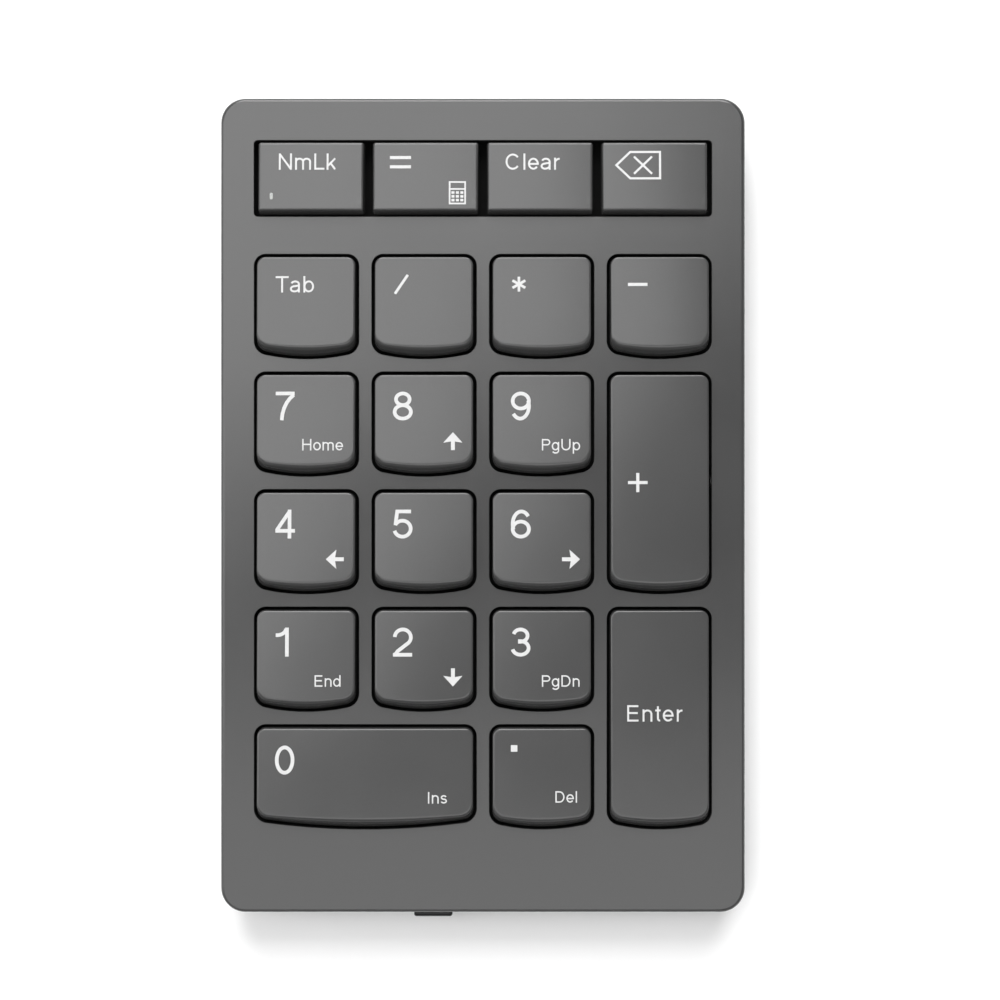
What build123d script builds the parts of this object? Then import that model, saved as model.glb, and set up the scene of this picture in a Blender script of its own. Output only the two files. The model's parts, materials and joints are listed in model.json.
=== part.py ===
"""Low-profile wireless numeric keypad, 21 keys, with a rechargeable cell.

The object stands on its feet on the XY plane. +X is to the right, +Y away from the user, +Z up.
Every piece is modelled about the middle of the case, and moved by to_frame when it is written,
so that the origin is the centre of the footprint, power switch knob included.
"""

from build123d import *

import os
from math import asin, atan, cos, degrees

# Driving dimensions, in millimetres -------------------------------------------------------

# case
case_width = 85.0
case_length = 132.0
case_corner = 4.0
case_taper = 0.4  # how much each side leans in from the deck to the seam
deck_top = 12.6
deck_thickness = 1.4
deck_edge = 0.6  # rounding around the deck
rim_edge = 0.06  # broken edge round each opening
underside = 1.0
floor_thickness = 1.4
cavity_width = 81.0
cavity_length = 128.0
cavity_corner = 2.4

# key layout
pitch = 19.05
opening = 17.0  # each key's opening in the deck, one unit wide
opening_rear_corner = 1.9
opening_front_corner = 2.3
smile = 1.15  # how far the front edge bows towards the user
smile_wide = 1.35
front_row_y = -44.0
slot_width = 74.2  # the one opening that the four small keys share
slot_depth = 12.36
slot_y = 52.96
slot_corner = 0.65
small_pitch = 18.5
small_width = 17.2
small_depth = 11.6
small_corner = 0.5

# keycaps
key_gap = 0.5
key_height = 1.8  # above the deck
key_travel = 1.8
key_drop = 0.8  # how much lower a key's top is at the rear than at the front
key_draft = 0.14
key_front_slope = 1.1
small_draft = 0.3
small_front_slope = 0.45
key_wall = 0.9
key_roof = 1.5
key_edge = 0.3
key_inner_corner_trim = 0.6
skirt_bottom = 11.0

# plunger, guide and dome under each key
plunger_radius = 3.35
plunger_bore = 2.6
plunger_bottom = 9.3
plunger_rib = 0.8
hook_reach = 0.6
hook_width = 1.2
hook_height = 0.55
guide_bore = 3.5
guide_radius = 4.2
guide_top = 10.9
hook_clearance = 0.2
dome_radius = 3.0
dome_top_radius = 1.5
dome_gap = 0.05
dome_wall = 0.35
dome_nub_radius = 0.6
dome_nub_height = 0.9  # of the nub's tip over the upper film

# key module, from the backplate upwards
module_width = 75.2
module_front = -57.5
module_rear = 60.5
module_corner = 1.5
switch_hole = 2.0  # radius of the spacer film's hole at each switch
light_hole = 0.8
backplate_bottom = 6.2
backplate_thickness = 0.5
film_thickness = 0.1
mat_thickness = 0.4
guide_plate_thickness = 1.0

# levelling bars under the three long keys
bar_radius = 0.5
bar_pivot_z = 9.3
bar_rise = 1.9  # height of the long leg over the pivots, key up
bar_arm = 5.5
bar_half_length = 12.0
bar_pin_end = 14.4
bar_leg_offset = 5.9  # from the key's middle, key up
bar_bend = 0.9
pin_clearance = 0.07
leg_clearance = 0.08
clip_x = 7.5  # the two clips under a keycap, either side of its middle
clip_thickness = 1.6
clip_front = 4.8
clip_rear = 7.3
pin_lug_x = 13.65  # the two pivot lugs on the guide plate
pin_lug_thickness = 1.1
pin_lug_depth = 2.2

# screws
screw_radius = 0.8
pilot_radius = 0.85
boss_radius = 1.9
case_screw_head = 1.7
module_screw_head = 1.5
case_boss_bottom = 3.4
case_post_radius = 2.5
case_head_height = 0.9
case_head_recess = 1.2
case_shank = 5.2
case_pilot_top = 8.2
module_head_height = 0.6
module_shank = 4.4

# power switch
knob_x = -8.2
knob_z = 6.6
knob_width = 6.3
knob_height = 2.4
knob_reach = 1.6  # how far it stands out from the case
knob_travel = 2.0
knob_clearance = 0.15
groove_pitch = 0.8
groove_width = 0.3
groove_depth = 0.2
flange_thickness = 0.8
slider_width = 1.5
slider_height = 1.4
slider_rear = -60.3
slider_tip = -62.7

# charging socket
usb_z = 4.4
usb_width = 8.94
usb_height = 3.16
usb_length = 7.3
usb_wall = 0.3
usb_recess = 0.5  # of the shell's mouth behind the rear wall
tongue_width = 6.6
tongue_thickness = 0.7

# boards: left, right, front and rear
board_bottom = 3.2
board_thickness = 0.8
main_board_edges = (-37.0, 26.0, 42.0, 62.6)
switch_board_edges = (-22.0, 30.0, -61.9, -54.5)
board_screw_radius = 0.7
board_pilot_radius = 0.74
board_post_radius = 1.7
board_head_radius = 1.4
board_head_height = 0.6

# battery, tape and leads
pouch_edges = (-27.0, 17.0, -30.0, 25.5)
pouch_bottom = 2.6
pouch_top = 5.6
seal_edges = (-25.5, 15.5, 25.5, 28.0)
tape_edges = (-22.0, 12.0, -26.0, 22.0)
lead_places = (-14.2, -12.2)
lead_radius = 0.55
lead_middle = 35.5
lead_length = 18.0

# membrane's tail, its slot in the backplate and its connector
tail_x = 8.0
tail_width = 12.0
tail_slot_y = 37.0
tail_end_y = 45.6

# flat cable between the boards
ribbon_x = (22.8, 26.2)
ribbon_y = (-54.9, 42.9)
ribbon_thickness = 0.25

# feet and label
foot_length = 14.0
foot_width = 5.0
foot_recess = 0.5
label_place = (0.0, -8.0)
label_size = (46.0, 26.0)
lip_top = 4.2
lip_thickness = 1.0
lip_clearance = 0.15

# indicator light in the num lock key
light_x = -34.1
light_y = 49.85
light_width = 0.5
light_length = 1.1

# Derived heights --------------------------------------------------------------------------

deck_under = deck_top - deck_thickness
floor_top = underside + floor_thickness
key_top = deck_top + key_height
key_roof_under = key_top - key_roof
backplate_top = backplate_bottom + backplate_thickness
film_z = [backplate_top + i * film_thickness for i in range(4)]
mat_top = film_z[3] + mat_thickness
guide_plate_top = mat_top + guide_plate_thickness
board_top = board_bottom + board_thickness
tail_z = board_top + 0.6
ribbon_z = board_top + 0.55
to_frame = Pos(0, knob_reach / 2, 0)

# Placement --------------------------------------------------------------------------------

columns = [(i - 1.5) * pitch for i in range(4)]
rows = [front_row_y + i * pitch for i in range(5)]


class Key:
    """One key: its middle, and its size in units of the pitch."""

    def __init__(self, name, column, row, wide=1, tall=1):
        self.name = name
        self.wide = wide
        self.tall = tall
        self.small = False
        self.x = columns[column] + (wide - 1) * pitch / 2
        self.y = rows[row] + (tall - 1) * pitch / 2
        self.opening_width = opening + (wide - 1) * pitch
        self.opening_depth = opening + (tall - 1) * pitch
        self.smile = smile_wide if wide > 1 else smile

    @property
    def long(self):
        return self.wide > 1 or self.tall > 1


class SmallKey:
    """One of the four half-height keys that share the slot."""

    def __init__(self, name, index):
        self.name = name
        self.small = True
        self.long = False
        self.x = (index - 1.5) * small_pitch
        self.y = slot_y


large_keys = [
    Key("tab", 0, 4),
    Key("divide", 1, 4),
    Key("multiply", 2, 4),
    Key("minus", 3, 4),
    Key("7", 0, 3),
    Key("8", 1, 3),
    Key("9", 2, 3),
    Key("plus", 3, 2, tall=2),
    Key("4", 0, 2),
    Key("5", 1, 2),
    Key("6", 2, 2),
    Key("1", 0, 1),
    Key("2", 1, 1),
    Key("3", 2, 1),
    Key("enter", 3, 0, tall=2),
    Key("0", 0, 0, wide=2),
    Key("decimal", 2, 0),
]
small_keys = [SmallKey(n, i) for i, n in enumerate(["num_lock", "equals", "clear", "backspace"])]
keys = small_keys + large_keys
long_keys = [k for k in large_keys if k.long]

case_screw_places = [(sx * 38.9, sy * 62.4) for sx in (-1, 1) for sy in (-1, 1)]
case_screw_places += [(-38.9, 4.0), (38.9, 4.0)]
module_screw_places = [(x, y) for y in (43.7, -55.1) for x in (-24.0, 0.0, 24.0)]
board_screw_places = [(-33.0, 45.5), (22.0, 45.5), (27.5, -57.0), (-19.5, -57.0)]
foot_places = {
    "front_left": (-31.0, -57.5),
    "front_right": (31.0, -57.5),
    "rear_left": (-31.0, 57.5),
    "rear_right": (31.0, 57.5),
}


# Shared shapes ----------------------------------------------------------------------------


def block(x0, x1, y0, y1, z0, z1):
    """A box between two corners."""
    size = Box(x1 - x0, y1 - y0, z1 - z0)
    return Pos((x0 + x1) / 2, (y0 + y1) / 2, (z0 + z1) / 2) * size


def rod(radius, z0, z1, x=0.0, y=0.0):
    """A vertical cylinder."""
    return Pos(x, y, (z0 + z1) / 2) * Cylinder(radius, z1 - z0)


def slab(width, depth, corner, z0, z1, x=0.0, y=0.0):
    """A plate with rounded corners."""
    return Pos(x, y, z0) * extrude(RectangleRounded(width, depth, corner), z1 - z0)


def smile_outline(width, depth, rear_corner, front_corner, bow):
    """A key's outline: straight at the rear and sides, bowed at the front, corners rounded."""
    left, right = -width / 2, width / 2
    rear, front = depth / 2, -depth / 2
    edges = [
        Line((left, front + bow), (left, rear)),
        Line((left, rear), (right, rear)),
        Line((right, rear), (right, front + bow)),
        ThreePointArc((right, front + bow), (0, front), (left, front + bow)),
    ]
    face = make_face(edges)
    rear_points = face.vertices().filter_by(lambda v: v.Y > 0)
    face = fillet(rear_points, rear_corner)
    front_points = face.vertices().group_by(Axis.Y)[0]
    return fillet(front_points, front_corner)


def key_section(key, inset, front_inset, corner_trim=0.0):
    """A key's outline, drawn in from its opening by inset, and at the front by front_inset."""
    shift = (front_inset - inset) / 2
    if key.small:
        width = small_width - 2 * inset
        depth = small_depth - inset - front_inset
        corner = max(small_corner - corner_trim, 0.15)
        return Pos(0, shift) * RectangleRounded(width, depth, corner)
    width = key.opening_width - 2 * inset
    depth = key.opening_depth - inset - front_inset
    rear = opening_rear_corner - corner_trim
    front = opening_front_corner - corner_trim
    return Pos(0, shift) * smile_outline(width, depth, rear, front, key.smile)


# Keycaps ----------------------------------------------------------------------------------


def keycap_skin(key):
    """The cap itself: a straight skirt below the deck, a leaning part above it, and a hollow."""
    gap = 0.0 if key.small else key_gap
    draft = small_draft if key.small else key_draft
    slope = small_front_slope if key.small else key_front_slope
    base = key_section(key, gap, gap, gap)
    top = key_section(key, gap + draft, gap + slope, gap + draft)
    skirt = Pos(0, 0, skirt_bottom) * extrude(base, deck_top - skirt_bottom)
    leaning = loft([Pos(0, 0, deck_top) * base, Pos(0, 0, key_top) * top], ruled=True)
    solid = skirt + leaning - above_key(key)
    top_edges = solid.faces().sort_by(Axis.Z)[-1].edges()
    solid = fillet(top_edges, key_edge)
    inner_front = gap + key_wall + slope / 2
    inner = key_section(key, gap + key_wall, inner_front, gap + key_inner_corner_trim)
    hollow = Pos(0, 0, skirt_bottom) * extrude(inner, key_roof_under - skirt_bottom)
    return solid - hollow


def above_key(key):
    """What is cut from a cap so that its top falls by key_drop from front to rear."""
    depth = small_depth if key.small else key.opening_depth
    lean = degrees(atan(key_drop / depth))
    wedge = block(-case_width / 2, case_width / 2, -depth / 2, 3 * depth / 2, 0, 2 * key_height)
    return Pos(0, -depth / 2, key_top) * Rot(-lean, 0, 0) * wedge


def plunger():
    """The moulded stem: a tube with a cross inside that meets the dome, and two snap hooks."""
    tube = rod(plunger_radius, plunger_bottom, key_roof_under)
    tube -= rod(plunger_bore, plunger_bottom, key_roof_under)
    long = plunger_bore + 0.1
    short = plunger_rib / 2
    for x, y in ((long, short), (short, long)):
        tube += block(-x, x, -y, y, plunger_bottom, key_roof_under)
    for side in (-1, 1):
        near, far = plunger_radius - 0.3, plunger_radius + hook_reach
        x0, x1 = sorted((side * near, side * far))
        half = hook_width / 2
        tube += block(x0, x1, -half, half, plunger_bottom, plunger_bottom + hook_height)
    return tube


def bar_clips():
    """Two lugs under a long keycap, each with a slot that holds the levelling bar's long leg."""
    leg_z = bar_pivot_z + bar_rise
    swing = bar_arm - bar_arm * cos(asin(bar_rise / bar_arm))
    radius = bar_radius + leg_clearance
    half = clip_thickness / 2
    near, far = bar_leg_offset - 0.05, bar_leg_offset + swing + 0.05
    lugs = Part()
    for x in (-clip_x, clip_x):
        lug = block(x - half, x + half, clip_front, clip_rear, leg_z - 0.85, key_roof_under)
        lug -= block(x - half, x + half, near, far, leg_z - radius, leg_z + radius)
        for y in (near, far):
            lug -= Pos(x, y, leg_z) * Rot(0, 90, 0) * Cylinder(radius, clip_thickness)
        lugs += lug
    return lugs


def along_key(key, shape):
    """Turns a shape drawn for a wide key so that it lies along a tall one."""
    return Rot(0, 0, 90) * shape if key.tall > 1 else shape


def keycap(key):
    cap = keycap_skin(key) + plunger()
    if key.long:
        cap += along_key(key, bar_clips())
    if key.name == "num_lock":
        cap -= light_slot(skirt_bottom, key_top + 1, 0, light_x - key.x, light_y - key.y)
    return Pos(key.x, key.y, 0) * cap


def light_slot(z0, z1, grow, x, y):
    """The oblong shape of the indicator light, grow larger all round."""
    width, length = light_width + 2 * grow, light_length + 2 * grow
    return slab(width, length, width / 2 - 0.01, z0, z1, x, y)


def num_lock_lens():
    """The clear light pipe in the num lock key, flush with its top."""
    bottom = key_roof_under - 0.4
    flange = light_slot(bottom, key_roof_under, 0.3, light_x, light_y)
    pipe = light_slot(bottom, key_top, 0, light_x, light_y)
    key = small_keys[0]
    return pipe + flange - Pos(key.x, key.y, 0) * above_key(key)


# Levelling bars ---------------------------------------------------------------------------


def bar_pivot():
    """Where a wide key's bar turns: the distance of its axis from the key's middle, along Y."""
    return bar_leg_offset - bar_arm * cos(asin(bar_rise / bar_arm))


def levelling_bar(key):
    """A bent steel wire that keeps a long key level: two pins, two arms and a long leg."""
    points = [
        (-bar_pin_end, 0),
        (-bar_half_length, 0),
        (-bar_half_length, bar_arm),
        (bar_half_length, bar_arm),
        (bar_half_length, 0),
        (bar_pin_end, 0),
    ]
    path = FilletPolyline(*points, radius=bar_bend)
    section = Plane(origin=path @ 0, z_dir=path % 0) * Circle(bar_radius)
    wire = sweep(section, path=path)
    lean = degrees(asin(bar_rise / bar_arm))
    wire = Pos(0, bar_pivot(), bar_pivot_z) * Rot(lean, 0, 0) * wire
    return Pos(key.x, key.y, 0) * along_key(key, wire)


def bar_lugs():
    """Two lugs on the guide plate, each with a bore for one of the bar's pins."""
    lugs = Part()
    y = bar_pivot()
    half_x, half_y = pin_lug_thickness / 2, pin_lug_depth / 2
    hole = Rot(0, 90, 0) * Cylinder(bar_radius + pin_clearance, pin_lug_thickness)
    for x in (-pin_lug_x, pin_lug_x):
        lug = block(
            x - half_x, x + half_x, y - half_y, y + half_y, guide_plate_top, bar_pivot_z + 0.9
        )
        lugs += lug - Pos(x, y, bar_pivot_z) * hole
    return lugs


# Key module -------------------------------------------------------------------------------


def module_sheet(z0, z1):
    """A sheet of the key module, with screw holes, a light hole and notches at the case screws."""
    depth = module_rear - module_front
    middle = (module_rear + module_front) / 2
    sheet = slab(module_width, depth, module_corner, z0, z1, 0, middle)
    for x, y in module_screw_places:
        sheet -= rod(screw_radius + 0.1, z0, z1, x, y)
    for x, y in case_screw_places:
        sheet -= rod(boss_radius + 0.4, z0, z1, x, y)
    return sheet - rod(light_hole, z0, z1, light_x, light_y)


def key_guide_frame():
    """The plate with one guide barrel for each key, and lugs for the levelling bars."""
    frame = module_sheet(mat_top, guide_plate_top)
    barrels = Part()
    holes = Part()
    half = hook_width / 2 + hook_clearance
    reach = guide_radius + hook_clearance
    hook_slot = block(-reach, reach, -half, half, mat_top, plunger_bottom + hook_height + 0.05)
    for key in keys:
        barrels += rod(guide_radius, guide_plate_top, guide_top, key.x, key.y)
        holes += rod(guide_bore, mat_top, guide_top, key.x, key.y)
        holes += Pos(key.x, key.y, 0) * hook_slot
    frame = frame + barrels - holes
    for key in long_keys:
        frame += Pos(key.x, key.y, 0) * along_key(key, bar_lugs())
    return frame


def dome():
    """One collapsible dome, open below, with the nub that presses the switch."""
    top = plunger_bottom - dome_gap
    shoulder = top - dome_wall
    inner_top = shoulder - 0.2
    nub_tip = film_z[3] + dome_nub_height
    outline = [
        (dome_radius - dome_wall, film_z[3]),
        (dome_radius, film_z[3]),
        (dome_radius, mat_top),
        (dome_top_radius, shoulder),
        (dome_top_radius, top),
        (0, top),
        (0, nub_tip),
        (dome_nub_radius, nub_tip),
        (dome_nub_radius, inner_top),
        (dome_top_radius - dome_wall, inner_top),
        (dome_radius - dome_wall, mat_top - 0.1),
    ]
    profile = Plane.XZ * make_face(Polyline(*outline, close=True))
    return revolve(profile, Axis.Z)


def rubber_dome_mat():
    """One silicone mat that carries a dome under every key."""
    mat = module_sheet(film_z[3], mat_top)
    for key in keys:
        mat -= rod(dome_radius - 0.1, film_z[3], mat_top, key.x, key.y)
    one = dome()
    for key in keys:
        mat += Pos(key.x, key.y, 0) * one
    return mat


def membrane_upper():
    return module_sheet(film_z[2], film_z[3])


def membrane_spacer():
    """The middle film, with a hole at each switch where the outer films meet."""
    film = module_sheet(film_z[1], film_z[2])
    for key in keys:
        film -= rod(switch_hole, film_z[1], film_z[2], key.x, key.y)
    return film


def membrane_lower():
    """The lower film, whose tail dips through the backplate to the main board's connector."""
    film = module_sheet(film_z[0], film_z[1])
    x0, x1 = tail_x - tail_width / 2, tail_x + tail_width / 2
    film -= block(x0 - 0.5, x1 + 0.5, tail_slot_y - 1.0, tail_slot_y + 1.5, film_z[0], film_z[1])
    thick = film_thickness
    top = film_z[1]
    tail = [
        (tail_slot_y - 1.4, top),
        (tail_slot_y - 0.2, top),
        (tail_slot_y + 1.0, tail_z + thick),
        (tail_end_y, tail_z + thick),
        (tail_end_y, tail_z),
        (tail_slot_y + 0.9, tail_z),
        (tail_slot_y - 0.3, top - thick),
        (tail_slot_y - 1.4, top - thick),
    ]
    side = Plane.YZ * make_face(Polyline(*tail, close=True))
    return film + Pos(x0, 0, 0) * extrude(side, tail_width, dir=(1, 0, 0))


def steel_backplate():
    plate = module_sheet(backplate_bottom, backplate_top)
    x0, x1 = tail_x - tail_width / 2 - 0.8, tail_x + tail_width / 2 + 0.8
    slot = block(x0, x1, tail_slot_y - 1.5, tail_slot_y + 2.5, backplate_bottom, backplate_top)
    return plate - slot


# Case -------------------------------------------------------------------------------------


def case_section(lean, z):
    size = RectangleRounded(case_width - 2 * lean, case_length - 2 * lean, case_corner - lean)
    return Pos(0, 0, z) * size


def key_openings():
    """Everything that is cut from the deck for the keys."""
    cut = slab(slot_width, slot_depth, slot_corner, deck_under, deck_top, 0, slot_y)
    for key in large_keys:
        cut += Pos(key.x, key.y, deck_under) * extrude(key_section(key, 0, 0), deck_thickness)
    return cut


def switch_window():
    """The slot in the front wall that the power switch's knob slides in."""
    clear = knob_clearance
    x0 = knob_x - knob_width / 2 - clear
    x1 = knob_x + knob_width / 2 + knob_travel + clear
    half = knob_height / 2 + clear
    front = -case_length / 2
    back = -cavity_length / 2 + 1
    return block(x0, x1, front - 1, back, knob_z - half, knob_z + half)


def usb_window(grow):
    """The charging socket's opening, grow larger all round than the socket."""
    width = usb_width + 2 * grow
    height = usb_height + 2 * grow
    mouth = RectangleRounded(width, height, height / 2 - 0.01)
    return extrude(socket_plane(case_length / 2 + 1) * mouth, 6)


def socket_plane(y):
    """The plane of the charging socket's mouth at y; shapes on it are extruded forwards."""
    return Plane(origin=(0, y, usb_z), x_dir=(1, 0, 0), z_dir=(0, -1, 0))


def top_cover():
    """The deck and the walls in one moulding, with screw bosses inside."""
    outside = loft([case_section(case_taper, floor_top), case_section(0, deck_top)], ruled=True)
    outside = fillet(outside.faces().sort_by(Axis.Z)[-1].edges(), deck_edge)
    cavity = slab(cavity_width, cavity_length, cavity_corner, floor_top, deck_under)
    cover = outside - cavity
    cover -= key_openings()
    rims = [e for e in cover.edges() if abs(e.center().Z - deck_top) < 1e-4]
    rims = [e for e in rims if abs(e.center().Y) < 60 and abs(e.center().X) < slot_width / 2 + 1]
    cover = chamfer(rims, rim_edge)
    inside = slab(case_width - 2, case_length - 2, 3, floor_top, deck_top)
    for x, y in case_screw_places:
        boss = rod(boss_radius, case_boss_bottom, deck_under, x, y)
        cover += boss & inside
        cover -= rod(pilot_radius, case_boss_bottom, case_pilot_top, x, y)
    for x, y in module_screw_places:
        cover += rod(boss_radius, guide_plate_top, deck_under, x, y)
        cover -= rod(pilot_radius, guide_plate_top, deck_under, x, y)
    return cover - switch_window() - usb_window(0.2)


def foot_pad(z0, z1, x, y, grow=0.0):
    length, width = foot_length + 2 * grow, foot_width + 2 * grow
    return slab(length, width, width / 2 - 0.01, z0, z1, x, y)


def bottom_cover():
    """The flat lower cover, with a lip inside the walls and recesses for the feet."""
    seam = case_section(case_taper, floor_top)
    base = loft([case_section(case_taper + 1.0, underside), seam], ruled=True)
    width = cavity_width - 2 * lip_clearance
    length = cavity_length - 2 * lip_clearance
    wall = 2 * lip_thickness
    within = slab(width, length, cavity_corner - lip_clearance, floor_top, lip_top)
    inner = slab(width - wall, length - wall, cavity_corner - lip_thickness, floor_top, lip_top)
    cover = base + (within - inner)
    for x, y in case_screw_places:
        cover -= rod(boss_radius + 0.25, case_boss_bottom, lip_top, x, y)
        cover += rod(case_post_radius, floor_top, case_boss_bottom, x, y) & within
        cover -= rod(case_screw_head + 0.15, underside, underside + case_head_recess, x, y)
        cover -= rod(screw_radius + 0.15, underside, case_boss_bottom, x, y)
    for x, y in foot_places.values():
        cover -= foot_pad(underside, underside + foot_recess, x, y, 0.1)
    width, depth = label_size
    x, y = label_place
    cover -= slab(width + 0.6, depth + 0.6, 1.3, underside, underside + 0.15, x, y)
    cover += board_posts()
    cover -= usb_window(0.2)
    knob_room = block(knob_x - 8, knob_x + 10, -65, -60, floor_top, lip_top)
    return cover - knob_room


def board_posts():
    """Posts that the two boards stand on."""
    posts = Part()
    for x, y in board_screw_places:
        posts += rod(board_post_radius, floor_top, board_bottom, x, y)
        posts -= rod(board_pilot_radius, floor_top, board_bottom, x, y)
    return posts


def foot(name):
    x, y = foot_places[name]
    pad = foot_pad(0, underside + foot_recess, x, y)
    return chamfer(pad.faces().sort_by(Axis.Z)[0].edges(), 0.35)


def rating_label():
    width, depth = label_size
    x, y = label_place
    return slab(width, depth, 1.0, underside + 0.05, underside + 0.15, x, y)


# Fasteners --------------------------------------------------------------------------------


def screw(x, y, head_z, head_radius, head_height, length):
    """A cross-head screw driven from below: head at head_z, shank upwards from it."""
    body = rod(head_radius, head_z, head_z + head_height, x, y)
    body += rod(screw_radius, head_z + head_height, head_z + head_height + length, x, y)
    arm = head_radius * 0.65
    for dx, dy in ((arm, 0.2), (0.2, arm)):
        body -= block(x - dx, x + dx, y - dy, y + dy, head_z, head_z + head_height * 0.55)
    return body


def case_screws():
    start = underside + case_head_recess - case_head_height
    size = (start, case_screw_head, case_head_height, case_shank)
    return Compound([screw(x, y, *size) for x, y in case_screw_places])


def module_screws():
    start = backplate_bottom - module_head_height
    size = (start, module_screw_head, module_head_height, module_shank)
    return Compound([screw(x, y, *size) for x, y in module_screw_places])


def board_screws():
    """Four short screws from above that hold the boards on their posts."""
    made = []
    head_top = board_top + board_head_height
    for x, y in board_screw_places:
        head = rod(board_head_radius, board_top, head_top, x, y)
        shank = rod(board_screw_radius, floor_top + 0.1, board_top, x, y)
        drive = block(x - 0.9, x + 0.9, y - 0.15, y + 0.15, head_top - 0.3, head_top)
        made.append(head + shank - drive)
    return Compound(made)


# Electronics ------------------------------------------------------------------------------


def main_board():
    """The rear circuit board, notched for the charging socket."""
    board = block(*main_board_edges, board_bottom, board_top)
    half = usb_width / 2 + 0.1
    notch = case_length / 2 - usb_recess - usb_length - 0.1
    board -= block(-half, half, notch, main_board_edges[3], board_bottom, board_top)
    for x, y in board_screw_places:
        board -= rod(board_pilot_radius, board_bottom, board_top, x, y)
    x, y = case_screw_places[1]
    return board - rod(2.8, board_bottom, board_top, x, y)


def switch_board():
    """The narrow front circuit board that carries the power switch."""
    board = block(*switch_board_edges, board_bottom, board_top)
    for x, y in board_screw_places:
        board -= rod(board_pilot_radius, board_bottom, board_top, x, y)
    return board


def usb_socket_shell():
    """The socket's drawn steel shell, closed at the back."""
    place = socket_plane(case_length / 2 - usb_recess)
    outer = extrude(place * RectangleRounded(usb_width, usb_height, 1.4), usb_length)
    inner_size = RectangleRounded(usb_width - 2 * usb_wall, usb_height - 2 * usb_wall, 1.1)
    return outer - extrude(place * inner_size, usb_length - 0.4)


def usb_socket_tongue():
    mouth = case_length / 2 - usb_recess
    half, up = tongue_width / 2, tongue_thickness / 2
    return block(-half, half, mouth - usb_length + 0.4, mouth - 0.7, usb_z - up, usb_z + up)


def switch_body():
    """The slide switch on the front board, with the slot that its slider moves in."""
    body = block(knob_x - 3.5, knob_x + 5.5, -61.6, -58.4, board_top, board_top + 3.6)
    x0, x1 = knob_x - 0.95, knob_x + knob_travel + 0.95
    return body - block(x0, x1, -61.6, -60.1, knob_z - 0.85, knob_z + 0.85)


def switch_slider():
    half, up = slider_width / 2, slider_height / 2
    return block(
        knob_x - half, knob_x + half, slider_tip, slider_rear, knob_z - up, knob_z + up
    )


def switch_knob():
    """The sliding knob: a cap with grip grooves, a flange behind the wall and a pocket."""
    inner_wall = -cavity_length / 2
    half_w, half_h = knob_width / 2, knob_height / 2
    front = -case_length / 2 - knob_reach
    cap = block(knob_x - half_w, knob_x + half_w, front, inner_wall + 0.9, -half_h, half_h)
    cap = fillet(cap.edges().filter_by(Axis.Y), 0.35)
    cap = fillet(cap.faces().sort_by(Axis.Y)[0].edges(), 0.4)
    half_g = groove_width / 2
    for i in range(-2, 3):
        x = knob_x + i * groove_pitch
        cap -= block(x - half_g, x + half_g, front, front + groove_depth, -half_h / 2, half_h / 2)
    back = inner_wall + 0.1
    flange_rear = back + flange_thickness
    reach = half_w + knob_travel + 0.5
    flange = block(knob_x - reach, knob_x + reach, back, flange_rear, -half_h - 0.7, half_h + 0.7)
    fork_rear = slider_tip + 0.7
    fork = block(knob_x - 1.5, knob_x + 1.5, flange_rear, fork_rear, -half_h, half_h)
    half, up = slider_width / 2 + 0.05, slider_height / 2 + 0.05
    pocket = block(knob_x - half, knob_x + half, slider_tip - 0.2, fork_rear, -up, up)
    return Pos(0, 0, knob_z) * (cap + flange + fork - pocket)


def battery_cell():
    """A flat pouch cell under the backplate, with a folded seal at its lead end."""
    pouch = block(*pouch_edges, pouch_bottom, pouch_top)
    pouch = fillet(pouch.edges().filter_by(Axis.Y), 1.0)
    return pouch + block(*seal_edges, board_bottom, board_top)


def battery_tape():
    return block(*tape_edges, floor_top, pouch_bottom)


def battery_leads():
    """Two straight leads that lie on the cell's seal and on their solder pads."""
    z = board_top + lead_radius
    lead = Rot(90, 0, 0) * Cylinder(lead_radius, lead_length)
    return Compound([Pos(x, lead_middle, z) * lead for x in lead_places])


def switch_ribbon():
    """The flat cable between the two boards."""
    return block(*ribbon_x, *ribbon_y, ribbon_z, ribbon_z + ribbon_thickness)


def ribbon_connectors():
    """Two connectors that clamp the ends of the flat cable, one on each board."""
    left, right = ribbon_x
    front, rear = ribbon_y
    slot = block(left - 0.9, right + 0.8, front, rear, ribbon_z, ribbon_z + ribbon_thickness)
    made = []
    for y0, y1 in ((rear - 0.7, rear + 1.1), (front - 1.1, front + 0.7)):
        made.append(block(left - 1.0, right, y0, y1, board_top, board_top + 1.3) - slot)
    return Compound(made)


def membrane_connector():
    """The connector on the main board that clamps the membrane's tail."""
    half = tail_width / 2
    shell = block(tail_x - half - 1, tail_x + half + 1, 43.6, 47.4, board_top, board_top + 1.5)
    tail = block(tail_x - half, tail_x + half, 43.6, tail_end_y, tail_z, tail_z + film_thickness)
    return shell - tail


def chip(x, y, width, depth, height, notch=0.0):
    """A box-shaped component that stands on a board, with a round mark in one corner."""
    top = board_top + height
    body = block(x - width / 2, x + width / 2, y - depth / 2, y + depth / 2, board_top, top)
    if notch:
        body -= rod(notch, top - 0.1, top, x - width / 2 + 1.2, y + depth / 2 - 1.2)
    return body


# Writing ----------------------------------------------------------------------------------

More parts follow.
